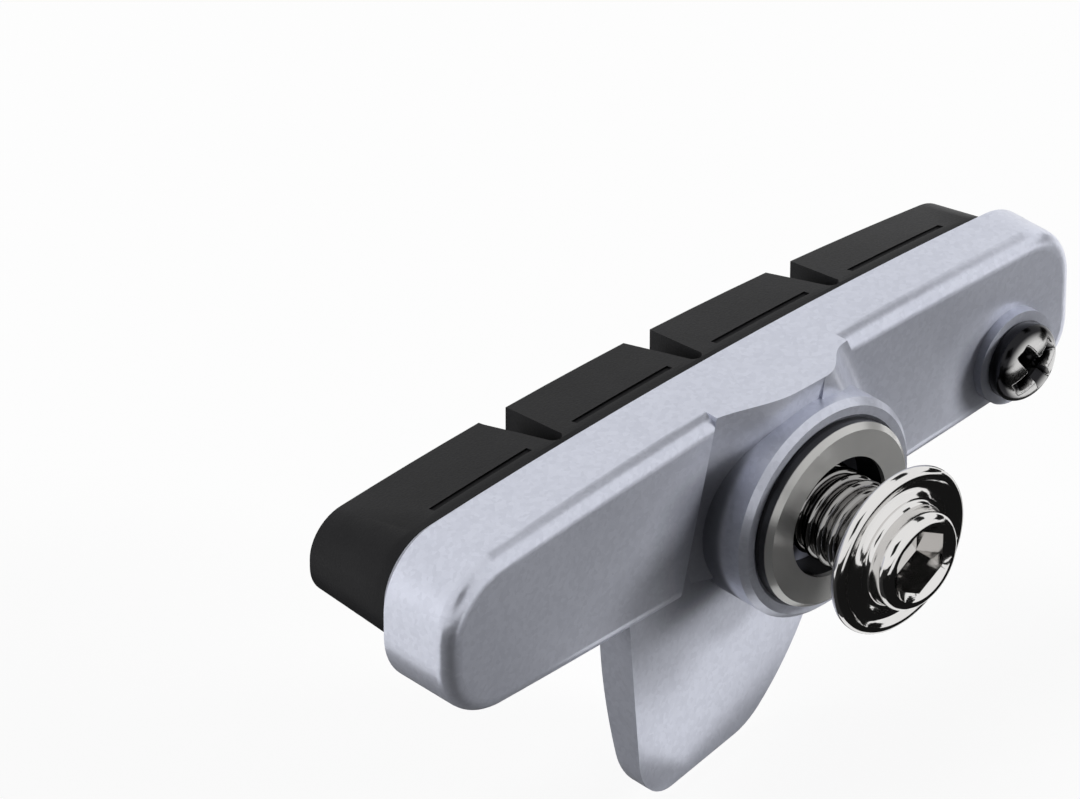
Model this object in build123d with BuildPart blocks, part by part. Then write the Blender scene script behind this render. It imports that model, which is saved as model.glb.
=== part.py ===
import os
from math import cos, radians, sin, tan

from build123d import *

# Frame: the origin lies on the bolt's axis, in the washer's flat face that meets the brake arm.
# +X runs along the shoe to the locking screw, +Y runs towards the rim and +Z is up on the bicycle.

# Holder: one die casting with a pad channel, a bolt boss and a wheel guide
holder_length = 56.0
holder_height = 12.4  # at mid length
bolt_offset = 2.2  # bolt axis from mid length, towards the locking screw
holder_rise = 2.7  # mid height above the bolt axis
top_crown = 1.15  # rise of the top edge between the ends
bottom_belly = 0.7  # drop of the bottom edge between the ends
plain_end_round = 4.6
plain_end_heel = 4.8
screw_end_round = 4.4
screw_end_heel = 3.4
lip_y = 9.2  # rim of the channel
back_y = 3.9  # back face, measured at the bolt axis
back_taper = 1.7  # degrees, thinner towards the locking screw
edge_round = 1.1
lip_chamfer = 0.6

# Pad channel: closed at the plain end, open at the screw end
channel_wall = 1.2  # rim above the channel
channel_end_wall = 1.1
channel_height = 8.0
channel_depth = 2.5
channel_corner = 3.2
slot_depth = 1.1  # wider slot at the channel's floor
slot_reach = 0.45  # how far it reaches under each side

# Saddle: the raised part of the back that carries the boss up to the top edge
saddle_y = 2.2
saddle_left = 7.0  # where the plain end's flat stops, at the top edge
saddle_crest = 1.2  # where the saddle reaches its full height, left of the axis
saddle_right = 0.8  # where the short ramp starts, at the top edge
ramp_run = 3.8
hollow_lean = 0.143  # sideways drift of the hollow per unit of drop
hollow_fall = 0.106  # deepening of the hollow per unit of drop
ramp_lean = 0.46

# Boss with a spherical cup
boss_radius = 7.4
ring_y = 1.0  # front of the boss ring
ring_chamfer = 0.4
cup_gap = 0.06  # between the washer and its cup
thread_gap = 0.05

# Washer: flat to the brake arm, convex to the cup
washer_radius = 6.2
washer_hole = 4.05
washer_edge = 1.1  # thickness at the rim
washer_sphere = 10.0
washer_chamfer = 0.35

# Fixing bolt
bolt_radius = 3.0
bolt_tip = 0.4  # short of the channel's floor
bolt_tip_chamfer = 0.6
flange_radius = 5.6
flange_y = 4.4  # underside of the flange from the arm seat
flange_rim = 0.95
flange_chamfer = 0.3
neck_run = 1.0
neck_radius = 4.3
dish_inner = 3.75
dish_depth = 0.35
button_radius = 3.3
button_height = 1.75
button_slope = 0.7
hex_flats = 4.0
hex_depth = 2.6

# Locking screw and its collar
lock_inset = 6.1  # from the holder's open end
lock_z = 0.5
collar_radius = 3.2
collar_height = 0.7
screw_radius = 1.5
screw_gap = 0.05
screw_head_radius = 2.6
screw_head_height = 1.9
screw_head_chamfer = 0.5
cross_width = 0.75
cross_length = 3.2
cross_depth = 1.0
screw_reach = 1.6  # past the channel's floor
screw_room = 0.35

# Pad: a rubber insert with four blocks
pad_gap = 0.1  # around the root in the channel
root_end = 1.6  # short of the holder's open end
root_corner = 2.4
pad_base = 1.1  # plain band above the channel's rim
pad_thickness = 6.6  # rim of the channel to the friction face, at mid length
pad_toe = 2.0  # degrees that the friction face leans
face_height = 7.6
face_crown = 1.45
face_belly = 0.35
face_round_share = 0.48  # of the face's height at its ends
face_plain_end = 1.6  # short of the holder's plain end
face_screw_end = 0.7  # short of the holder's open end
groove_pitch = 12.0
groove_count = 3
groove_mouth = 2.2
groove_root = 1.0
groove_clear = 2.0  # cut past the friction face

# Wheel guide: a vane below the holder
guide_turn = 9.0  # degrees from the shoe's length
guide_left = 14.2  # straight edge, left of the bolt axis
guide_right = 7.8  # right of the bolt axis
guide_root_y = 5.2
guide_sink = 2.0  # buried in the holder's lower wall
guide_drop = 12.7
guide_foot = 3.5  # end of the lower edge, left of the bolt axis
guide_bow_x = 2.4  # middle of the curved edge
guide_bow = 8.9  # its drop
guide_corner = 3.0
guide_trim = 1.0  # section drawn past the lower edge
guide_blend = 6.0
guide_flare = 2.2  # how far its lower edge leans out
guide_root_thick = 2.4
guide_tip_thick = 0.9
guide_inset = 0.5  # short of the channel's rim
boss_inset = 0.4  # short of the channel's floor

mid_x = -bolt_offset
left_x = mid_x - holder_length / 2
right_x = mid_x + holder_length / 2
top_z = holder_rise + holder_height / 2
bottom_z = holder_rise - holder_height / 2
floor_y = lip_y - channel_depth
channel_start = left_x + channel_end_wall
slot_start = channel_start - slot_reach
slot_wall = channel_wall - slot_reach
slot_height = channel_height + 2 * slot_reach
face_y = lip_y + pad_thickness
sphere_y = washer_edge - (washer_sphere**2 - washer_radius**2) ** 0.5
crown_radius = ((holder_length / 2) ** 2 + top_crown**2) / (2 * top_crown)
lock_x = right_x - lock_inset
collar_y = back_y + lock_x * tan(radians(back_taper)) - collar_height
far = holder_length


def back_at(x):
    return back_y + x * tan(radians(back_taper))


def crown_at(x, inset):
    return top_z - crown_radius + ((crown_radius - inset) ** 2 - (x - mid_x) ** 2) ** 0.5


def channel_band(start_x, stop_x, inset, height, start_corner, stop_corner):
    """Band along the holder's arched top edge, rounded at the plain end and, if asked, at the other."""
    half_x = (start_x + stop_x) / 2
    with BuildSketch() as band:
        with BuildLine():
            upper = ThreePointArc(
                (start_x, crown_at(start_x, inset)),
                (half_x, crown_at(half_x, inset)),
                (stop_x, crown_at(stop_x, inset)),
            )
            Line(upper @ 1, (stop_x, crown_at(stop_x, inset + height)))
            lower = ThreePointArc(
                (stop_x, crown_at(stop_x, inset + height)),
                (half_x, crown_at(half_x, inset + height)),
                (start_x, crown_at(start_x, inset + height)),
            )
            Line(lower @ 1, upper @ 0)
        make_face()
        fillet(band.vertices().group_by(Axis.X)[0], radius=start_corner)
        if stop_corner > 0:
            fillet(band.vertices().group_by(Axis.X)[-1], radius=stop_corner)
    return band.sketch


# Wheel guide blade: its section, drawn across the blade and stretched along it, cut to its outline
guide_plane = Plane(
    origin=(-guide_left, guide_root_y, bottom_z),
    x_dir=(-sin(radians(guide_turn)), cos(radians(guide_turn)), 0),
    z_dir=(cos(radians(guide_turn)), sin(radians(guide_turn)), 0),
)
with BuildPart() as wheel_guide:
    with BuildSketch(guide_plane):
        with BuildLine():
            inner = ThreePointArc(
                (guide_root_thick / 2, guide_sink),
                (guide_root_thick / 2 - guide_flare / 4, -guide_drop / 2),
                (guide_tip_thick / 2 - guide_flare, -guide_drop - guide_trim),
            )
            tip = Line(inner @ 1, (-guide_tip_thick / 2 - guide_flare, -guide_drop - guide_trim))
            outer = ThreePointArc(
                tip @ 1,
                (-guide_root_thick / 2 - guide_flare / 3, -guide_drop / 2),
                (-guide_root_thick / 2, guide_sink),
            )
            Line(outer @ 1, inner @ 0)
        make_face()
    extrude(amount=far, both=True)
    with BuildSketch(Plane.XZ.offset(guide_inset - lip_y)) as vane:
        with BuildLine():
            edges = Polyline(
                (guide_right, bottom_z + guide_sink),
                (-guide_left, bottom_z + guide_sink),
                (-guide_left, bottom_z - guide_drop),
                (-guide_foot, bottom_z - guide_drop),
            )
            ThreePointArc(edges @ 1, (guide_bow_x, bottom_z - guide_bow), edges @ 0)
        make_face()
        fillet(vane.vertices().sort_by_distance((-guide_left, bottom_z - guide_drop))[0], radius=guide_corner)
        fillet(vane.vertices().sort_by_distance((-guide_foot, bottom_z - guide_drop))[0], radius=guide_blend)
    extrude(amount=far, mode=Mode.INTERSECT)

# Outline of the holder's bar: an arched top, a bellied bottom and rounded ends
with BuildSketch(Plane.XZ.offset(-lip_y)) as bar:
    with BuildLine():
        crown = ThreePointArc(
            (left_x, top_z - top_crown), (mid_x, top_z), (right_x, top_z - top_crown)
        )
        Line(crown @ 1, (right_x, bottom_z + bottom_belly))
        belly = ThreePointArc(
            (right_x, bottom_z + bottom_belly), (mid_x, bottom_z), (left_x, bottom_z + bottom_belly)
        )
        Line(belly @ 1, crown @ 0)
    make_face()
    fillet(bar.vertices().sort_by_distance((left_x, bottom_z))[0], radius=plain_end_heel)
    fillet(bar.vertices().sort_by_distance((left_x, top_z))[0], radius=plain_end_round)
    fillet(bar.vertices().sort_by_distance((right_x, bottom_z))[0], radius=screw_end_heel)
    fillet(bar.vertices().sort_by_distance((right_x, top_z))[0], radius=screw_end_round)

# Saddle: full height of the bar, between the leaning edge on the left and the ramp on the right
ramp_foot = saddle_right + ramp_run
saddle_root = floor_y - boss_inset
with BuildPart() as saddle:
    extrude(bar.sketch, amount=lip_y - saddle_y)
    with BuildSketch(Plane.XY.offset(top_z)):
        Polygon(
            (-saddle_left, -far), (far, -far), (far, saddle_root), (-saddle_left, saddle_root), align=None
        )
    extrude(amount=far, dir=(-hollow_lean, 0, -1), mode=Mode.INTERSECT)
    with BuildSketch(Plane.XY.offset(top_z)):
        with BuildLine():
            ramp = Spline(
                (saddle_right, saddle_y), (ramp_foot, back_at(ramp_foot)), tangents=((1, 0), (1, 0))
            )
            Polyline(
                ramp @ 1, (ramp_foot, floor_y), (-far, floor_y), (-far, -far), (saddle_right, -far), ramp @ 0
            )
        make_face()
    extrude(amount=far, dir=(ramp_lean, 0, -1), mode=Mode.INTERSECT)

with BuildPart() as shoe_holder:
    extrude(bar.sketch, amount=lip_y)
    with BuildSketch(Plane.XY.offset(top_z)):
        Polygon((-far, -far), (far, -far), (far, back_at(far)), (-far, back_at(-far)), align=None)
    extrude(amount=-far, both=True, mode=Mode.SUBTRACT)
    back_face = shoe_holder.faces().sort_by(Axis.Y)[0]
    fillet(back_face.edges(), radius=edge_round)
    lip_face = shoe_holder.faces().sort_by(Axis.Y)[-1]
    chamfer(lip_face.edges(), length=lip_chamfer)

    # channel for the pad's root, with a wider slot along its floor
    with BuildSketch(Plane.XZ.offset(-lip_y)):
        add(channel_band(channel_start, far, channel_wall, channel_height, channel_corner, 0))
    extrude(amount=channel_depth, mode=Mode.SUBTRACT)
    with BuildSketch(Plane.XZ.offset(-floor_y)):
        add(channel_band(slot_start, far, slot_wall, slot_height, channel_corner, 0))
    extrude(amount=-slot_depth, mode=Mode.SUBTRACT)
    add(saddle.part)

    # saddle face that falls into the hollow beside the boss
    with BuildSketch(Plane.XY.offset(top_z)):
        with BuildLine():
            slope = Spline(
                (-saddle_left, back_at(-saddle_left)),
                (-saddle_crest, saddle_y),
                tangents=((1, -0.2), (1, 0)),
            )
            Polyline(
                slope @ 1,
                (saddle_right, saddle_y),
                (saddle_right, -far),
                (-saddle_left - far, back_at(-saddle_left) - far),
                slope @ 0,
            )
        make_face()
    extrude(amount=far, dir=(-hollow_lean, hollow_fall, -1), mode=Mode.SUBTRACT)

    # boss, wheel guide and the collar of the locking screw
    with BuildSketch(Plane.XZ.offset(-ring_y)):
        Circle(boss_radius)
    extrude(amount=-(floor_y - boss_inset - ring_y))
    ring_edge = shoe_holder.edges().filter_by(GeomType.CIRCLE).sort_by(Axis.Y)[0]
    chamfer(ring_edge, length=ring_chamfer)
    add(wheel_guide.part)
    with BuildSketch(Plane.XZ.offset(-collar_y)):
        with Locations((lock_x, lock_z)):
            Circle(collar_radius)
    extrude(amount=-(floor_y - boss_inset - collar_y))

    # spherical cup, tapped hole and the locking screw's hole
    with Locations((0, sphere_y, 0)):
        Sphere(washer_sphere + cup_gap, mode=Mode.SUBTRACT)
    with BuildSketch(Plane.XZ):
        Circle(bolt_radius + thread_gap)
    extrude(amount=-far, mode=Mode.SUBTRACT)
    with BuildSketch(Plane.XZ):
        with Locations((lock_x, lock_z)):
            Circle(screw_radius + screw_gap)
    extrude(amount=-far, mode=Mode.SUBTRACT)
    shoe_holder.part.label = "shoe_holder"

# Washer: turned section, flat in front and spherical behind
with BuildPart() as toe_in_washer:
    with BuildSketch(Plane.XY):
        with BuildLine():
            back_rim = (washer_radius, washer_edge)
            mean_radius = (washer_radius + washer_hole) / 2
            sphere_mid = (mean_radius, sphere_y + (washer_sphere**2 - mean_radius**2) ** 0.5)
            back_hole = (washer_hole, sphere_y + (washer_sphere**2 - washer_hole**2) ** 0.5)
            Polyline(
                back_hole,
                (washer_hole, 0),
                (washer_radius - washer_chamfer, 0),
                (washer_radius, washer_chamfer),
                back_rim,
            )
            ThreePointArc(back_rim, sphere_mid, back_hole)
        make_face()
    revolve(axis=Axis.Y)
    toe_in_washer.part.label = "toe_in_washer"

# Fixing bolt: turned section with a flared neck, a dished flange and a button with a hex socket
tip_y = floor_y - bolt_tip
rim_y = -flange_y - flange_rim
button_y = rim_y - button_height
with BuildPart() as fixing_bolt:
    with BuildSketch(Plane.XY):
        with BuildLine():
            shank = Polyline(
                (0, tip_y),
                (bolt_radius - bolt_tip_chamfer, tip_y),
                (bolt_radius, tip_y - bolt_tip_chamfer),
                (bolt_radius, neck_run - flange_y),
                (neck_radius, -flange_y),
            )
            rim = Polyline(
                shank @ 1,
                (flange_radius - flange_chamfer, -flange_y),
                (flange_radius, -flange_y - flange_chamfer),
                (flange_radius, rim_y + flange_chamfer),
                (flange_radius - flange_chamfer, rim_y),
            )
            dish = Polyline(
                rim @ 1,
                ((flange_radius - flange_chamfer + dish_inner) / 2, rim_y + dish_depth),
                (dish_inner, rim_y),
            )
            cap = Polyline(
                dish @ 1, (button_radius, button_y + button_slope), (button_radius - button_slope, button_y)
            )
            Polyline(cap @ 1, (0, button_y), (0, tip_y))
        make_face()
    revolve(axis=Axis.Y)
    with BuildSketch(Plane.XZ.offset(-button_y)):
        RegularPolygon(hex_flats / 2, 6, major_radius=False)
    extrude(amount=-hex_depth, mode=Mode.SUBTRACT)
    fixing_bolt.part.label = "fixing_bolt"

# Locking screw: pan head with a cross recess, its tip in a notch of the pad
with BuildPart() as locking_screw:
    with BuildSketch(Plane.XZ.offset(-collar_y)):
        with Locations((lock_x, lock_z)):
            Circle(screw_head_radius)
    extrude(amount=screw_head_height)
    chamfer(locking_screw.edges().sort_by(Axis.Y)[0], length=screw_head_chamfer)
    with BuildSketch(Plane.XZ.offset(screw_head_height - collar_y)):
        with Locations((lock_x, lock_z)):
            Rectangle(cross_length, cross_width, rotation=20)
            Rectangle(cross_width, cross_length, rotation=20)
    extrude(amount=-cross_depth, mode=Mode.SUBTRACT)
    with BuildSketch(Plane.XZ.offset(-collar_y)):
        with Locations((lock_x, lock_z)):
            Circle(screw_radius)
    extrude(amount=collar_y - floor_y - screw_reach)
    locking_screw.part.label = "locking_screw"

# Pad: a root that fills the channel, a plain band, and blocks that narrow to the friction face
base_y = lip_y + pad_base
pad_start = channel_start + pad_gap
pad_stop = right_x - root_end
face_start = left_x + face_plain_end
face_stop = right_x - face_screw_end
face_mid = (face_start + face_stop) / 2
face_z = holder_rise
band_height = channel_height - 2 * pad_gap
key_start = slot_start + pad_gap
key_height = slot_height - 2 * pad_gap
toe = radians(pad_toe)
half_face = (face_stop - face_start) / 2
face_plane = Plane(
    origin=(face_mid, face_y, face_z),
    x_dir=(cos(toe), -sin(toe), 0),
    z_dir=(-sin(toe), -cos(toe), 0),
)
with BuildSketch(Plane.XZ.offset(-base_y)) as band:
    add(channel_band(pad_start, pad_stop, channel_wall + pad_gap, band_height, channel_corner, root_corner))
with BuildSketch(face_plane) as friction_face:
    with BuildLine():
        face_top = ThreePointArc(
            (-half_face, face_height / 2 - face_crown),
            (0, face_height / 2),
            (half_face, face_height / 2 - face_crown),
        )
        Line(face_top @ 1, (half_face, face_belly - face_height / 2))
        face_bottom = ThreePointArc(
            (half_face, face_belly - face_height / 2),
            (0, -face_height / 2),
            (-half_face, face_belly - face_height / 2),
        )
        Line(face_bottom @ 1, face_top @ 0)
    make_face()
    fillet(friction_face.vertices(), radius=face_round_share * (face_height - face_crown - face_belly))

with BuildPart() as brake_pad:
    loft([band.sketch, friction_face.sketch], ruled=True)
    extrude(band.sketch, amount=base_y - floor_y - pad_gap)
    with BuildSketch(Plane.XZ.offset(-floor_y - pad_gap)):
        add(channel_band(key_start, pad_stop, slot_wall + pad_gap, key_height, channel_corner, root_corner))
    extrude(amount=2 * pad_gap - slot_depth)

    # grooves between the blocks, narrower towards the root
    with BuildSketch(Plane.XY):
        with Locations((face_mid, 0)):
            with GridLocations(groove_pitch, 0, groove_count, 1):
                Polygon(
                    (-groove_root / 2, base_y + groove_root / 2),
                    (groove_root / 2, base_y + groove_root / 2),
                    (groove_mouth / 2, face_y),
                    (groove_mouth / 2, face_y + groove_clear),
                    (-groove_mouth / 2, face_y + groove_clear),
                    (-groove_mouth / 2, face_y),
                    align=None,
                )
        with Locations((face_mid, base_y + groove_root / 2)):
            with GridLocations(groove_pitch, 0, groove_count, 1):
                Circle(groove_root / 2)
    extrude(amount=far, both=True, mode=Mode.SUBTRACT)

    # notch for the locking screw's tip, open to the pad's lower edge
    with BuildSketch(Plane.XZ.offset(-floor_y)):
        with Locations((lock_x, lock_z)):
            Circle(screw_radius + screw_room)
            Rectangle(2 * (screw_radius + screw_room), far, align=(Align.CENTER, Align.MAX))
    extrude(amount=-screw_reach - screw_room, mode=Mode.SUBTRACT)
    brake_pad.part.label = "brake_pad"

os.makedirs("parts", exist_ok=True)
export_step(shoe_holder.part, "parts/shoe_holder.step")
export_step(brake_pad.part, "parts/brake_pad.step")
export_step(fixing_bolt.part, "parts/fixing_bolt.step")
export_step(toe_in_washer.part, "parts/toe_in_washer.step")
export_step(locking_screw.part, "parts/locking_screw.step")
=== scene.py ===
import math

import bmesh
import bpy
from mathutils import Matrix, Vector
from mathutils.bvhtree import BVHTree


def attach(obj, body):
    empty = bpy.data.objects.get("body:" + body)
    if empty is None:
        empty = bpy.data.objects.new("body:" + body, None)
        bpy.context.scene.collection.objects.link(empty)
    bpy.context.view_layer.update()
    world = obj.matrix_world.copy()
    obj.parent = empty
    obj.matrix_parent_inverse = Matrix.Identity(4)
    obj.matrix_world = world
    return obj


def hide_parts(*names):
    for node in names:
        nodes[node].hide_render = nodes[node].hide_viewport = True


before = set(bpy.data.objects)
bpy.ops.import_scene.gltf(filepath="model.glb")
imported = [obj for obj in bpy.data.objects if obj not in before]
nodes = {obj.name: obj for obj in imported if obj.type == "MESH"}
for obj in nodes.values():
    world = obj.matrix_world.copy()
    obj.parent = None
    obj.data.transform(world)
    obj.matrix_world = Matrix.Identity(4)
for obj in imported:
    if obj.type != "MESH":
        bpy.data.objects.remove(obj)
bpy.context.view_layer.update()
scene = bpy.context.scene
mm = 0.001
print("frame loaded:", ", ".join(sorted(nodes)))


def addNode(tree, kind, **settings):
    node = tree.nodes.new(kind)
    for name, value in settings.items():
        setattr(node, name, value)
    return node


def feed(tree, socket, value):
    # another socket is linked, anything else becomes the constant
    if hasattr(value, "is_linked"):
        tree.links.new(value, socket)
    else:
        socket.default_value = value


def mathNode(tree, operation, *values, clamp=False):
    node = addNode(tree, "ShaderNodeMath", operation=operation, use_clamp=clamp)
    for socket, value in zip(node.inputs, values):
        feed(tree, socket, value)
    return node.outputs[0]


def mixColour(tree, mask, first, second):
    node = addNode(tree, "ShaderNodeMix", data_type="RGBA")
    tree.links.new(mask, node.inputs[0])
    for index, colour in ((6, first), (7, second)):  # the colour sockets of the node
        feed(tree, node.inputs[index], colour if hasattr(colour, "is_linked") else (*colour, 1))
    return node.outputs[2]


def remap(tree, value, low, high):
    node = addNode(tree, "ShaderNodeMapRange")
    tree.links.new(value, node.inputs["Value"])
    node.inputs["To Min"].default_value = low
    node.inputs["To Max"].default_value = high
    return node.outputs[0]


def riseAt(tree, value, edge, soft):
    # nothing below the edge and one above it
    node = addNode(tree, "ShaderNodeMapRange", interpolation_type="SMOOTHSTEP")
    tree.links.new(value, node.inputs["Value"])
    node.inputs["From Min"].default_value = edge - soft
    node.inputs["From Max"].default_value = edge + soft
    return node.outputs[0]


def mmParts(tree, place, axes):
    # the named sides of a place, in mm
    apart = addNode(tree, "ShaderNodeSeparateXYZ")
    tree.links.new(place, apart.inputs[0])
    return [mathNode(tree, "MULTIPLY", apart.outputs[axis], 1 / mm) for axis in axes]


def distanceFrom(tree, x, z):
    squares = [mathNode(tree, "MULTIPLY", side, side) for side in (x, z)]
    return mathNode(tree, "SQRT", mathNode(tree, "ADD", *squares))


def newGroup(name, inputs, outputs):
    group = bpy.data.node_groups.new(name, "ShaderNodeTree")
    group.interface.new_socket("Vector", in_out="INPUT", socket_type="NodeSocketVector")
    for label, value in inputs.items():
        socket = group.interface.new_socket(label, in_out="INPUT", socket_type="NodeSocketFloat")
        socket.default_value = value
    for label in outputs:
        group.interface.new_socket(label, in_out="OUTPUT", socket_type="NodeSocketFloat")
    return group, addNode(group, "NodeGroupInput"), addNode(group, "NodeGroupOutput")


def makeFineGrain():
    # flakes in paint, pores in rubber and smudges on steel
    sizes = {"Size mm": 0.2, "Drift mm": 6.0}
    tree, source, sink = newGroup("fineGrain", sizes, ("Height", "Fleck", "Cloud"))
    fine = addNode(tree, "ShaderNodeTexNoise")
    fine.inputs["Detail"].default_value = 3
    fleck = addNode(tree, "ShaderNodeTexVoronoi", feature="F1")
    cloud = addNode(tree, "ShaderNodeTexNoise")
    cloud.inputs["Detail"].default_value = 2
    for texture, size in ((fine, "Size mm"), (fleck, "Size mm"), (cloud, "Drift mm")):
        tree.links.new(source.outputs["Vector"], texture.inputs["Vector"])
        tree.links.new(mathNode(tree, "DIVIDE", 1 / mm, source.outputs[size]), texture.inputs["Scale"])
    spread = addNode(tree, "ShaderNodeSeparateColor")
    tree.links.new(fleck.outputs["Color"], spread.inputs[0])
    tree.links.new(fine.outputs["Fac"], sink.inputs["Height"])
    tree.links.new(spread.outputs[0], sink.inputs["Fleck"])
    tree.links.new(cloud.outputs["Fac"], sink.inputs["Cloud"])
    return tree


def makeTurningMarks():
    # rings round the bolt's axis
    tree, source, sink = newGroup("turningMarks", {"Pitch mm": 0.12}, ("Height", "Radius mm"))
    x, z = mmParts(tree, source.outputs["Vector"], "XZ")
    radius = distanceFrom(tree, x, z)
    angle = mathNode(tree, "MULTIPLY", radius, 2 * math.pi)
    wave = mathNode(tree, "SINE", mathNode(tree, "DIVIDE", angle, source.outputs["Pitch mm"]))
    tree.links.new(mathNode(tree, "MULTIPLY_ADD", wave, 0.5, 0.5), sink.inputs["Height"])
    tree.links.new(radius, sink.inputs["Radius mm"])
    return tree


fineGrain = makeFineGrain()
turningMarks = makeTurningMarks()
print("shared effects ready")


def newMaterial(name):
    material = bpy.data.materials.new(name)
    material.use_nodes = True
    tree = material.node_tree
    place = addNode(tree, "ShaderNodeTexCoord").outputs["Object"]
    return material, tree, tree.nodes["Principled BSDF"], place


def useGroup(tree, group, vector, values):
    node = addNode(tree, "ShaderNodeGroup", node_tree=group)
    tree.links.new(vector, node.inputs["Vector"])
    for name, value in values.items():
        node.inputs[name].default_value = value
    return node.outputs


def grainOn(tree, place, size, drift):
    return useGroup(tree, fineGrain, place, {"Size mm": size, "Drift mm": drift})


def ringsOn(tree, place, pitch):
    return useGroup(tree, turningMarks, place, {"Pitch mm": pitch})


def addBump(tree, shader, height, strength, distance):
    bump = addNode(tree, "ShaderNodeBump")
    bump.inputs["Strength"].default_value = strength
    bump.inputs["Distance"].default_value = distance * mm
    tree.links.new(height, bump.inputs["Height"])
    tree.links.new(bump.outputs[0], shader.inputs["Normal"])


silverPaint = {
    "dark": (0.54, 0.56, 0.645),
    "light": (0.69, 0.712, 0.805),
    "metallic": 0.7,
    "rough": (0.285, 0.33),
    "grain": (0.3, 9.0),  # flakes and clouds, mm
    "fleckShare": 0.42,
    "cloudShare": 0.45,
    "bump": (0.2, 0.02),  # strength, mm
    "paintedShadow": (0.02, 0.022, 0.034),  # painted shadow: near-black colour where shade falls beside the boss, beside the screw's collar and in the cup behind the washer
    "paintedShadowRough": 0.6,
    "paintedShadowLean": 0.2,  # lean of its right edge
}
noBound = 99.0  # mm, past every side of the part
paintedShadowBeds = (  # middle x and z, reach, right edge and bounds in mm, share of painted shadow
    {"middle": (0.0, 0.0), "reach": 12.0, "right": -3.4,
     "z": (-5.6, 5.8), "y": (2.9, 5.7), "share": 0.95},
    {"middle": (19.7, 0.5), "reach": 5.0, "right": -1.4,
     "z": (-4.4, 3.6), "y": (2.9, 5.7), "share": 0.9},
    {"middle": (0.0, 0.0), "reach": 5.4, "right": noBound,
     "z": (-noBound, noBound), "y": (0.9, 7.0), "share": 0.97},
)
# widths of the soft edges in mm, for reach as a share of it
paintedShadowSoft = {"reach": 0.11, "right": 0.7, "z": (-0.4, 0.6), "y": (-0.12, 0.15)}
steepest = 60.0  # keeps the exponential finite


def softStep(tree, value, edge, width):
    # nearly one below the edge and nearly nothing above it, turned round by a negative width
    way = mathNode(tree, "DIVIDE", mathNode(tree, "SUBTRACT", value, edge), width)
    power = mathNode(tree, "EXPONENT", mathNode(tree, "MINIMUM", way, steepest))
    return mathNode(tree, "DIVIDE", 1.0, mathNode(tree, "ADD", power, 1.0))


def paintedShadowIn(tree, place):
    # painted shadow, left of the boss and of the screw's collar where their shadows fall, and all round
    # in the cup behind the washer
    x, y, z = mmParts(tree, place, "XYZ")
    total = None
    for bed in paintedShadowBeds:
        offX, offZ = (mathNode(tree, "SUBTRACT", side, at) for side, at in zip((x, z), bed["middle"]))
        slant = mathNode(tree, "MULTIPLY_ADD", offZ, silverPaint["paintedShadowLean"], offX)
        bounds = [
            (distanceFrom(tree, offX, offZ), bed["reach"], paintedShadowSoft["reach"] * bed["reach"]),
            (slant, bed["right"], paintedShadowSoft["right"]),
        ]
        for side, key in ((offZ, "z"), (y, "y")):
            bounds += [(side, edge, soft) for edge, soft in zip(bed[key], paintedShadowSoft[key])]
        patch = bed["share"]
        for bound in bounds:
            patch = mathNode(tree, "MULTIPLY", softStep(tree, *bound), patch)
        total = patch if total is None else mathNode(tree, "MAXIMUM", total, patch)
    return total


def makeSilverPaint():
    look = silverPaint
    material, tree, shader, place = newMaterial("silverPaint")
    flakes = grainOn(tree, place, *look["grain"])
    cloud = mathNode(tree, "MULTIPLY", flakes["Cloud"], look["cloudShare"])
    tone = mathNode(tree, "MULTIPLY_ADD", flakes["Fleck"], look["fleckShare"], cloud)
    # painted shadow: the paint turns near-black, rougher and not metallic there
    paintedShadow = paintedShadowIn(tree, place)
    clean = mixColour(tree, tone, look["dark"], look["light"])
    tree.links.new(mixColour(tree, paintedShadow, clean, look["paintedShadow"]), shader.inputs["Base Color"])
    smooth = remap(tree, flakes["Cloud"], *look["rough"])
    rough = mathNode(tree, "MULTIPLY_ADD", paintedShadow, look["paintedShadowRough"] - look["rough"][0], smooth)
    tree.links.new(rough, shader.inputs["Roughness"])
    tree.links.new(remap(tree, paintedShadow, look["metallic"], 0.0), shader.inputs["Metallic"])
    addBump(tree, shader, flakes["Height"], *look["bump"])
    return material


padRubber = {
    "base": (0.004, 0.004, 0.0045),
    "rubbed": (0.013, 0.013, 0.014),
    "rough": (0.38, 0.55),
    "gloss": 0.1,
    "grain": (0.16, 5.0),  # pores and clouds, mm
    "bump": (0.5, 0.02),
}


def makePadRubber():
    look = padRubber
    material, tree, shader, place = newMaterial("padRubber")
    pores = grainOn(tree, place, *look["grain"])
    worn = mixColour(tree, pores["Cloud"], look["base"], look["rubbed"])
    tree.links.new(worn, shader.inputs["Base Color"])
    tree.links.new(remap(tree, pores["Height"], *look["rough"]), shader.inputs["Roughness"])
    shader.inputs["Specular IOR Level"].default_value = look["gloss"]
    addBump(tree, shader, pores["Height"], *look["bump"])
    return material


polishedSteel = {
    "tint": (0.78, 0.77, 0.76),
    "smudge": (0.70, 0.69, 0.68),
    "paintedThreadShade": (0.30, 0.295, 0.29),  # painted shade: darker steel on the thread, where the flange and the washer shade it
    "paintedThreadShadeFrom": (-4.0, 0.5),  # y and softness, mm
    "paintedThreadShadeWithin": (3.2, 0.2),  # radius and softness, mm
    "rough": (0.05, 0.12),
    "grain": (0.3, 3.0),
    "ringPitch": 0.1,
    "bump": (0.06, 0.01),
}


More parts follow.
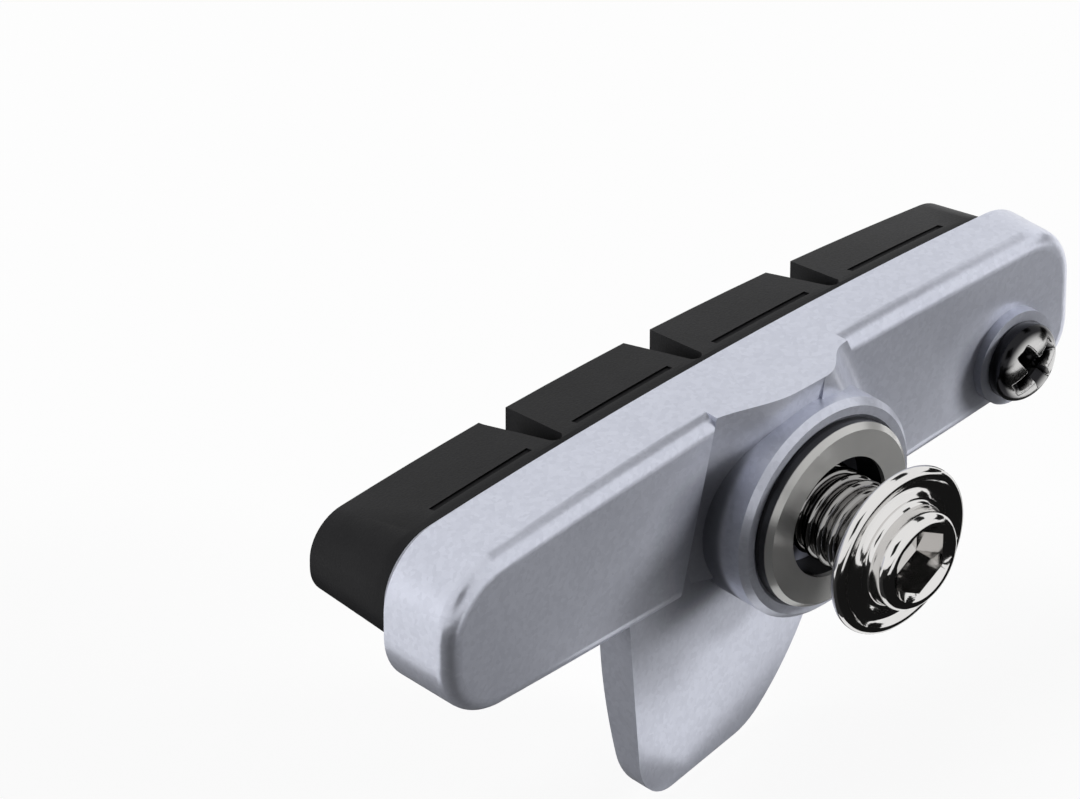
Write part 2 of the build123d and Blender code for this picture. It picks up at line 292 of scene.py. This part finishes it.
def makePolishedSteel():
    look = polishedSteel
    material, tree, shader, place = newMaterial("polishedSteel")
    rings = ringsOn(tree, place, look["ringPitch"])
    film = grainOn(tree, place, *look["grain"])
    # painted shade on the thread, past the neck and inside the crest's radius
    along = riseAt(tree, mmParts(tree, place, "Y")[0], *look["paintedThreadShadeFrom"])
    outside = riseAt(tree, rings["Radius mm"], *look["paintedThreadShadeWithin"])
    inPaintedThreadShade = mathNode(tree, "MULTIPLY", along, mathNode(tree, "SUBTRACT", 1.0, outside))
    clean = mixColour(tree, film["Cloud"], look["tint"], look["smudge"])
    tree.links.new(mixColour(tree, inPaintedThreadShade, clean, look["paintedThreadShade"]), shader.inputs["Base Color"])
    tree.links.new(remap(tree, film["Cloud"], *look["rough"]), shader.inputs["Roughness"])
    shader.inputs["Metallic"].default_value = 1
    addBump(tree, shader, rings["Height"], *look["bump"])
    return material


gunmetal = {
    "tint": (0.56, 0.555, 0.54),
    "dark": (0.46, 0.46, 0.45),
    "paintedShadeColour": (0.03, 0.03, 0.032),  # painted shade: near-black on the rim and in the hole, behind the chamfer
    "paintedShadeFrom": (0.36, 0.05),  # y and softness, mm
    "metallic": 0.6,
    "rough": (0.2, 0.26),
    "grain": (0.25, 2.5),
    "ringPitch": 0.16,
    "bump": (0.05, 0.01),
}


def makeGunmetal():
    look = gunmetal
    material, tree, shader, place = newMaterial("gunmetal")
    rings = ringsOn(tree, place, look["ringPitch"])
    film = grainOn(tree, place, *look["grain"])
    # painted shade on the washer's rim and in its hole
    inPaintedShade = riseAt(tree, mmParts(tree, place, "Y")[0], *look["paintedShadeFrom"])
    face = mixColour(tree, film["Cloud"], look["tint"], look["dark"])
    tree.links.new(mixColour(tree, inPaintedShade, face, look["paintedShadeColour"]), shader.inputs["Base Color"])
    tree.links.new(remap(tree, film["Height"], *look["rough"]), shader.inputs["Roughness"])
    shader.inputs["Metallic"].default_value = look["metallic"]
    addBump(tree, shader, rings["Height"], *look["bump"])
    return material


screwSteel = {
    "tint": (0.72, 0.71, 0.70),
    "dark": (0.50, 0.50, 0.50),
    "paintedShadeColour": (0.02, 0.02, 0.022),  # painted shade: near-black on the head's side and deep in its cross
    "paintedShadeFrom": (2.4, 0.2),  # y and softness, mm
    "rough": (0.12, 0.22),
    "grain": (0.2, 1.4),
    "bump": (0.05, 0.02),
}


def makeScrewSteel():
    look = screwSteel
    material, tree, shader, place = newMaterial("screwSteel")
    film = grainOn(tree, place, *look["grain"])
    # painted shade on the head's side and deep in its cross
    inPaintedShade = riseAt(tree, mmParts(tree, place, "Y")[0], *look["paintedShadeFrom"])
    bright = mixColour(tree, film["Cloud"], look["tint"], look["dark"])
    tree.links.new(mixColour(tree, inPaintedShade, bright, look["paintedShadeColour"]), shader.inputs["Base Color"])
    tree.links.new(remap(tree, film["Height"], *look["rough"]), shader.inputs["Roughness"])
    shader.inputs["Metallic"].default_value = 1
    addBump(tree, shader, film["Height"], *look["bump"])
    return material


finishes = {
    "shoe_holder": makeSilverPaint(),
    "brake_pad": makePadRubber(),
    "fixing_bolt": makePolishedSteel(),
    "toe_in_washer": makeGunmetal(),
    "locking_screw": makeScrewSteel(),
}
for name, material in finishes.items():
    mesh = nodes[name].data
    mesh.materials.clear()
    mesh.materials.append(material)
print("finishes on", len(finishes), "CAD pieces")


def turnsOf(count):
    return [2 * math.pi * i / count for i in range(count)]


def addRow(shell, points):
    # points in mm
    return [shell.verts.new([side * mm for side in point]) for point in points]


def joinRows(shell, rows):
    count = len(rows[0])
    for low, high in zip(rows, rows[1:]):
        for i in range(count):
            j = (i + 1) % count
            shell.faces.new((low[i], low[j], high[j], high[i]))


def capRows(shell, rows, tips):
    # a fan from each end's rim to its tip
    for row, tip in zip((rows[0], rows[-1]), tips):
        centre = addRow(shell, [tip])[0]
        for i in range(len(row)):
            shell.faces.new((row[i], row[(i + 1) % len(row)], centre))


def shellMesh(name, shell):
    bmesh.ops.recalc_face_normals(shell, faces=shell.faces)
    mesh = bpy.data.meshes.new(name)
    shell.to_mesh(mesh)
    shell.free()
    return mesh


def shadeMesh(mesh, sharp, material):
    mesh.materials.clear()
    mesh.materials.append(material)
    mesh.shade_smooth()
    mesh.set_sharp_from_angle(angle=math.radians(sharp))


def addObject(name, data):
    made = bpy.data.objects.new(name, data)
    scene.collection.objects.link(made)
    return made


def applyModifiers(carrier):
    made = bpy.data.meshes.new_from_object(carrier.evaluated_get(bpy.context.evaluated_depsgraph_get()))
    carrier.modifiers.clear()
    carrier.data = made


polishedBolt = {  # radii and places along the bolt, in mm
    "tip": (6.3, 0.5),  # end and its bevel
    "core": 2.64,
    "crest": 3.0,
    "pitch": 1.0,
    "threadFrom": 5.6,
    "threadTurns": 8.7,
    "neck": -3.2,  # where the shank starts to flare
    "flare": (1.75, 0.1, 0.05),  # width, then the handle of its curve
    "flange": (5.6, -4.4, 0.48),  # radius, underside, half thickness
    "dish": (4.42, -5.02, 0.1),  # handle of its curve, inset from the rim's round
    "button": (3.72, 3.28, -7.1, 0.62),  # foot, side, top, edge round
    "footRise": 0.5,
    "socket": (2.42, 4.0, 2.5),  # mouth radius, across flats, depth
    "mouthBevel": 0.12,
    "wallFrom": 0.32,  # below the top
    "drillPoint": 0.5,  # below the socket's floor
    "steps": (10, 14, 10, 6, 8),  # neck, rim, dish, foot, edge
    "weld": 0.004,
    "segments": 96,
    "sharp": 32,
}


def arcRun(centre, radius, start, stop, count):
    angles = [math.radians(start + (stop - start) * i / count) for i in range(count + 1)]
    return [(centre[0] + radius * math.cos(a), centre[1] + radius * math.sin(a)) for a in angles]


def curveRun(first, handle, last, count):
    run = []
    for i in range(count + 1):
        t = i / count
        sides = zip(first, handle, last)
        run.append(tuple((1 - t) ** 2 * a + 2 * t * (1 - t) * b + t * t * c for a, b, c in sides))
    return run


def boltProfile():
    look = polishedBolt
    core, neck = look["core"], look["neck"]
    tip, tipBevel = look["tip"]
    flare, handleR, handleY = look["flare"]
    rim, under, half = look["flange"]
    dishR, dishY, inset = look["dish"]
    foot, side, top, edge = look["button"]
    mouth, bevel = look["socket"][0], look["mouthBevel"]
    neckSteps, rimSteps, dishSteps, footSteps, edgeSteps = look["steps"]
    face = under - 2 * half
    run = [(core - tipBevel, tip), (core, tip - tipBevel), (core, neck)]
    run += curveRun((core, neck), (core + handleR, under + handleY), (core + flare, under), neckSteps)
    run += arcRun((rim - half, under - half), half, 90, -90, rimSteps)
    run += curveRun((rim - half - inset, face), (dishR, 2 * dishY - face), (foot, face), dishSteps)
    run += curveRun((foot, face), (side, face), (side, face - look["footRise"]), footSteps)
    run += arcRun((side - edge, top + edge), edge, 0, -90, edgeSteps)
    run += [(mouth + bevel, top), (mouth, top + bevel)]
    clean = [run[0]]
    for point in run[1:]:
        if math.dist(point, clean[-1]) > look["weld"]:
            clean.append(point)
    return clean


def makeBolt():
    look = polishedBolt
    turns = turnsOf(look["segments"])
    _, flats, depth = look["socket"]
    top = look["button"][2]
    floor = top + depth
    sixth = math.pi / 3
    hexagon = [flats / 2 / math.cos((t + sixth / 2) % sixth - sixth / 2) for t in turns]
    rings = [([r] * len(turns), y) for r, y in boltProfile()]
    rings += [(hexagon, top + look["wallFrom"]), (hexagon, floor)]
    shell = bmesh.new()
    rows = []
    for radii, y in rings:
        rows.append(addRow(shell, [(r * math.cos(t), y, r * math.sin(t)) for r, t in zip(radii, turns)]))
    joinRows(shell, rows)
    capRows(shell, rows, ((0, look["tip"][0], 0), (0, floor + look["drillPoint"], 0)))
    bolt = addObject("polishedBolt", shellMesh("polishedBolt", shell))
    shadeMesh(bolt.data, look["sharp"], finishes["fixing_bolt"])
    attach(bolt, "shoe")
    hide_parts("fixing_bolt")


boltThread = {"spiralSteps": 48, "sectionSteps": 8}  # points a turn, points round the ridge


def threadTree():
    tree = bpy.data.node_groups.new("boltThread", "GeometryNodeTree")
    for label in ("Crest", "Core", "Pitch", "Turns", "Start"):
        tree.interface.new_socket(label, in_out="INPUT", socket_type="NodeSocketFloat")
    tree.interface.new_socket("Finish", in_out="INPUT", socket_type="NodeSocketMaterial")
    tree.interface.new_socket("Geometry", in_out="OUTPUT", socket_type="NodeSocketGeometry")
    source, sink = addNode(tree, "NodeGroupInput"), addNode(tree, "NodeGroupOutput")
    take = source.outputs
    spiral = addNode(tree, "GeometryNodeCurveSpiral")
    spiral.inputs["Resolution"].default_value = boltThread["spiralSteps"]
    tree.links.new(take["Turns"], spiral.inputs["Rotations"])
    tree.links.new(take["Core"], spiral.inputs["Start Radius"])
    tree.links.new(take["Core"], spiral.inputs["End Radius"])
    tree.links.new(mathNode(tree, "MULTIPLY", take["Pitch"], take["Turns"]), spiral.inputs["Height"])
    section = addNode(tree, "GeometryNodeCurvePrimitiveCircle")
    section.inputs["Resolution"].default_value = boltThread["sectionSteps"]
    tree.links.new(mathNode(tree, "SUBTRACT", take["Crest"], take["Core"]), section.inputs["Radius"])
    body = addNode(tree, "GeometryNodeCurveToMesh")
    body.inputs["Fill Caps"].default_value = True
    tree.links.new(spiral.outputs[0], body.inputs[0])
    tree.links.new(section.outputs[0], body.inputs[1])
    turn = addNode(tree, "GeometryNodeTransform")
    turn.inputs["Rotation"].default_value = (math.pi / 2, 0, 0)
    place = addNode(tree, "ShaderNodeCombineXYZ")
    tree.links.new(take["Start"], place.inputs[1])
    tree.links.new(place.outputs[0], turn.inputs["Translation"])
    smooth = addNode(tree, "GeometryNodeSetShadeSmooth")
    whole = addNode(tree, "GeometryNodeRealizeInstances")
    paint = addNode(tree, "GeometryNodeSetMaterial")
    tree.links.new(take["Finish"], paint.inputs["Material"])
    chain = (body, turn, smooth, whole, paint, sink)
    for before, after in zip(chain, chain[1:]):
        tree.links.new(before.outputs[0], after.inputs[0])
    return tree


def makeThread():
    look = polishedBolt
    values = {
        "Crest": look["crest"] * mm,
        "Core": look["core"] * mm,
        "Pitch": look["pitch"] * mm,
        "Turns": look["threadTurns"],
        "Start": look["threadFrom"] * mm,
        "Finish": finishes["fixing_bolt"],
    }
    carrier = addObject("boltThread", bpy.data.meshes.new("boltThreadSeed"))
    modifier = carrier.modifiers.new("thread", "NODES")
    modifier.node_group = threadTree()
    for item in modifier.node_group.interface.items_tree:
        if item.in_out == "INPUT":
            modifier[item.identifier] = values[item.name]
    applyModifiers(carrier)
    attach(carrier, "shoe")


panScrew = {  # radii and places along the screw, in mm
    "axis": (19.7, 0.5),  # x and z
    "tip": (8.3, 0.35),  # end and its bevel
    "seat": (3.785, 0.12),  # underside of the head and its bevel
    "top": 1.885,
    "shank": 1.5,
    "head": 2.6,
    "side": 3.05,  # where the rounded head meets its straight side
    "dome": (2.6, 0.62),  # powers of the head's curve
    "cross": (0.62, 1.95, 0.95),  # half width, half length, depth
    "crossSlope": (0.2, 0.7),  # run of its walls and of its ends
    "turn": 32,
    "rings": 72,
    "segments": 168,
    "sharp": 62,
}


def crossDepth(u, v):
    half, reach, depth = panScrew["cross"]
    wallRun, endRun = panScrew["crossSlope"]
    turn = math.radians(panScrew["turn"])
    a = abs(u * math.cos(turn) + v * math.sin(turn))
    b = abs(v * math.cos(turn) - u * math.sin(turn))
    arms = []
    for across, along in ((a, b), (b, a)):
        wall = min(max((half - across) / wallRun, 0), 1)
        end = min(max((reach - along) / endRun, 0), 1)
        arms.append(wall * end)
    return depth * max(arms)


def makePanScrew():
    look = panScrew
    x0, z0 = look["axis"]
    tip, tipBevel = look["tip"]
    seat, seatBevel = look["seat"]
    shank, head, side, top = look["shank"], look["head"], look["side"], look["top"]
    widePower, tallPower = look["dome"]
    run = [(shank - tipBevel, tip), (shank, tip - tipBevel), (shank, seat)]
    run += [(head - seatBevel, seat), (head, seat - seatBevel), (head, side)]
    for i in range(1, look["rings"]):
        r = head * math.cos(math.pi / 2 * i / look["rings"])
        run.append((r, side - (side - top) * (1 - (r / head) ** widePower) ** tallPower))
    shell = bmesh.new()
    rows = []
    for r, y in run:
        points = []
        for t in turnsOf(look["segments"]):
            u, v = r * math.cos(t), r * math.sin(t)
            sunk = crossDepth(u, v) if y < side else 0
            points.append((x0 + u, y + sunk, z0 + v))
        rows.append(addRow(shell, points))
    joinRows(shell, rows)
    capRows(shell, rows, ((x0, tip, z0), (x0, top + look["cross"][2], z0)))
    screw = addObject("panScrew", shellMesh("panScrew", shell))
    shadeMesh(screw.data, look["sharp"], finishes["locking_screw"])
    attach(screw, "shoe")
    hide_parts("locking_screw")


groovedPad = {  # a recessed line along each block, above the plain band, in mm
    "y": 11.05,
    "half": 0.25,
    "deep": 0.16,
    "first": -19.75,  # middle of the first line, x
    "pitch": 12.0,
    "count": 4,
    "length": 8.2,
    "steps": 12,
    "proud": 1.0,  # how far the cutter stands out of the pad
    "rayFrom": 40,
    "weld": 0.001,
    "sharp": 28,
}


def lineCutter(skin):
    # bars that follow the pad's upper and lower side, sunk by the line's depth
    look = groovedPad
    bars = bmesh.new()
    for block in range(look["count"]):
        middle = look["first"] + look["pitch"] * block
        for side in (1, -1):
            rows = []
            for i in range(look["steps"] + 1):
                x = middle + look["length"] * (i / look["steps"] - 0.5)
                start = Vector((x, look["y"], side * look["rayFrom"])) * mm
                touch = skin.ray_cast(start, Vector((0, 0, -side)))[0].z / mm
                low, high = touch - side * look["deep"], touch + side * look["proud"]
                corners = ((-1, low), (1, low), (1, high), (-1, high))
                rows.append(addRow(bars, [(x, look["y"] + a * look["half"], z) for a, z in corners]))
            joinRows(bars, rows)
            bars.faces.new(rows[0])
            bars.faces.new(rows[-1])
    return shellMesh("lineCutter", bars)


def makeGroovedPad():
    look = groovedPad
    plain = nodes["brake_pad"].data
    skin = BVHTree.FromPolygons([v.co for v in plain.vertices], [p.vertices for p in plain.polygons])
    tool = addObject("lineCutter", lineCutter(skin))
    shell = bmesh.new()
    shell.from_mesh(plain)
    bmesh.ops.remove_doubles(shell, verts=shell.verts, dist=look["weld"] * mm)
    mesh = bpy.data.meshes.new("groovedPad")
    shell.to_mesh(mesh)
    shell.free()
    if "custom_normal" in mesh.attributes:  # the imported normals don't know the lines
        mesh.attributes.remove(mesh.attributes["custom_normal"])
    pad = addObject("groovedPad", mesh)
    cut = pad.modifiers.new("lines", "BOOLEAN")
    cut.operation, cut.solver, cut.object = "DIFFERENCE", "EXACT", tool
    applyModifiers(pad)
    bpy.data.objects.remove(tool)
    shadeMesh(pad.data, look["sharp"], finishes["brake_pad"])
    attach(pad, "shoe")
    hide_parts("brake_pad")


makeBolt()
makeThread()
makePanScrew()
makeGroovedPad()
print("bolt turned and threaded, screw and pad cut")


def bareMaterial(name):
    material = bpy.data.materials.new(name)
    material.use_nodes = True
    tree = material.node_tree
    tree.nodes.clear()
    return material, tree, addNode(tree, "ShaderNodeOutputMaterial").inputs[0]


def flatSheet(name, width, height, level, material):
    corners = ((-0.5, -0.5), (0.5, -0.5), (0.5, 0.5), (-0.5, 0.5))
    mesh = bpy.data.meshes.new(name)
    mesh.from_pydata([(x * width, y * height, level) for x, y in corners], [], [(0, 1, 2, 3)])
    mesh.materials.append(material)
    return addObject(name, mesh)


def seenDirectly(tree):
    # one for the picture and for mirrors, nothing for the light that the stage throws
    path = addNode(tree, "ShaderNodeLightPath").outputs
    seen = mathNode(tree, "ADD", path["Is Camera Ray"], path["Is Glossy Ray"], clamp=True)
    return mathNode(tree, "ADD", seen, path["Is Transmission Ray"], clamp=True)


floorLook = {"height": -17.2, "size": 3.0, "white": 0.86, "glow": 0.9}  # height mm, size m


def makeFloor():
    look = floorLook
    material, tree, surface = bareMaterial("paleFloor")
    matt = addNode(tree, "ShaderNodeBsdfDiffuse")
    matt.inputs["Color"].default_value = (look["white"],) * 3 + (1,)
    glow = addNode(tree, "ShaderNodeEmission")
    mix = addNode(tree, "ShaderNodeMixShader")
    tree.links.new(mathNode(tree, "MULTIPLY", seenDirectly(tree), look["glow"]), mix.inputs[0])
    tree.links.new(matt.outputs[0], mix.inputs[1])
    tree.links.new(glow.outputs[0], mix.inputs[2])
    tree.links.new(mix.outputs[0], surface)
    floor = flatSheet("floor", look["size"], look["size"], look["height"] * mm, material)


studio = {
    "world": 0.03,
    "lamps": {  # place mm, size mm, watts
        "key": ((483, -387, 174), 150, 5.0),
        "leftLamp": ((-330, 260, 60), 200, 1.5),
        "overhead": ((40, 240, 400), 260, 1.1),
    },
    "cards": {  # cards that metal mirrors in the white room: place mm, size mm, facing, grey
        "frontFloor": ((50, -33, -16.9), (240, 33), (0, 0, 1), 0.01),
        # painted shade: a dark sheet close in front of the part, mirrored as shade on the wing's upper
        # part
        "nearFloor": ((20, -11.75, -16.85), (180, 9.5), (0, 0, 1), 0.01),
        "leftFloor": ((-150, -125, -16.8), (220, 270), (0, 0, 1), 0.02),
        # painted shadow: a dark sheet for the floor's shadow under the part, seen only in reflections
        "underFloor": ((0, 22, -16.7), (80, 40), (0, 0, 1), 0.05),
        "heelFloor": ((-39, -3.75, -16.6), (62, 11.5), (0, 0, 1), 0.03),
        "rightCard": ((270, -60, 10), (200, 110), (-1, 0.2, 0), 0.01),
        "topCard": ((231, 20, 320), (320, 130), (-231, -20, -320), 0.02),
        "eyeCard": ((-350, -350, 340), (300, 300), (350, 350, -340), 0.02),
    },
}


def makeStudio():
    world = bpy.data.worlds.new("paleRoom")
    world.use_nodes = True
    scene.world = world
    tree = world.node_tree
    back = tree.nodes["Background"]
    back.inputs["Color"].default_value = (1, 1, 1, 1)
    tree.links.new(remap(tree, seenDirectly(tree), studio["world"], 1), back.inputs["Strength"])
    for name, (place, size, watts) in studio["lamps"].items():
        lamp = bpy.data.lights.new(name, "AREA")
        lamp.shape = "DISK"
        lamp.size = size * mm
        lamp.energy = watts
        holder = addObject(name, lamp)
        holder.location = Vector(place) * mm
        holder.rotation_euler = (-holder.location).to_track_quat("-Z", "Y").to_euler()
        holder.visible_glossy = False  # metal mirrors the white room instead


def makeCards():
    for name, (place, (width, height), facing, grey) in studio["cards"].items():
        material, tree, surface = bareMaterial(name)
        glow = addNode(tree, "ShaderNodeEmission")
        glow.inputs["Strength"].default_value = grey
        tree.links.new(glow.outputs[0], surface)
        card = flatSheet(name, width * mm, height * mm, 0, material)
        card.location = Vector(place) * mm
        card.rotation_euler = Vector(facing).to_track_quat("Z", "Y").to_euler()
        card.visible_camera = card.visible_diffuse = card.visible_shadow = False


eye = {
    "azimuth": -44.5,
    "elevation": 34.5,
    "distance": 600,  # mm
    "pixelsPerMm": 16.4,
    "originAt": (839.5, 516.8),  # pixels of the picture
    "image": (1080, 799),
    "sensor": 36,  # mm
    "clip": (0.02, 10),  # m
}


def makeCamera():
    a, e = math.radians(eye["azimuth"]), math.radians(eye["elevation"])
    back = Vector((math.sin(a) * math.cos(e), -math.cos(a) * math.cos(e), math.sin(e)))
    right = Vector((math.cos(a), math.sin(a), 0))
    up = back.cross(right)
    offsets = [at - size / 2 for at, size in zip(eye["originAt"], eye["image"])]
    shiftX, shiftY = (offset / eye["pixelsPerMm"] for offset in offsets)
    lens = bpy.data.cameras.new("eye")
    lens.sensor_width = eye["sensor"]
    lens.lens = eye["pixelsPerMm"] * eye["distance"] / eye["image"][0] * lens.sensor_width
    lens.clip_start, lens.clip_end = eye["clip"]
    camera = addObject("eye", lens)
    camera.location = (back * eye["distance"] - right * shiftX + up * shiftY) * mm
    camera.rotation_euler = (-back).to_track_quat("-Z", "Y").to_euler()
    scene.camera = camera


makeFloor()
makeStudio()
makeCards()
makeCamera()
scene.view_settings.view_transform = "Standard"
print("stage, light and camera ready")
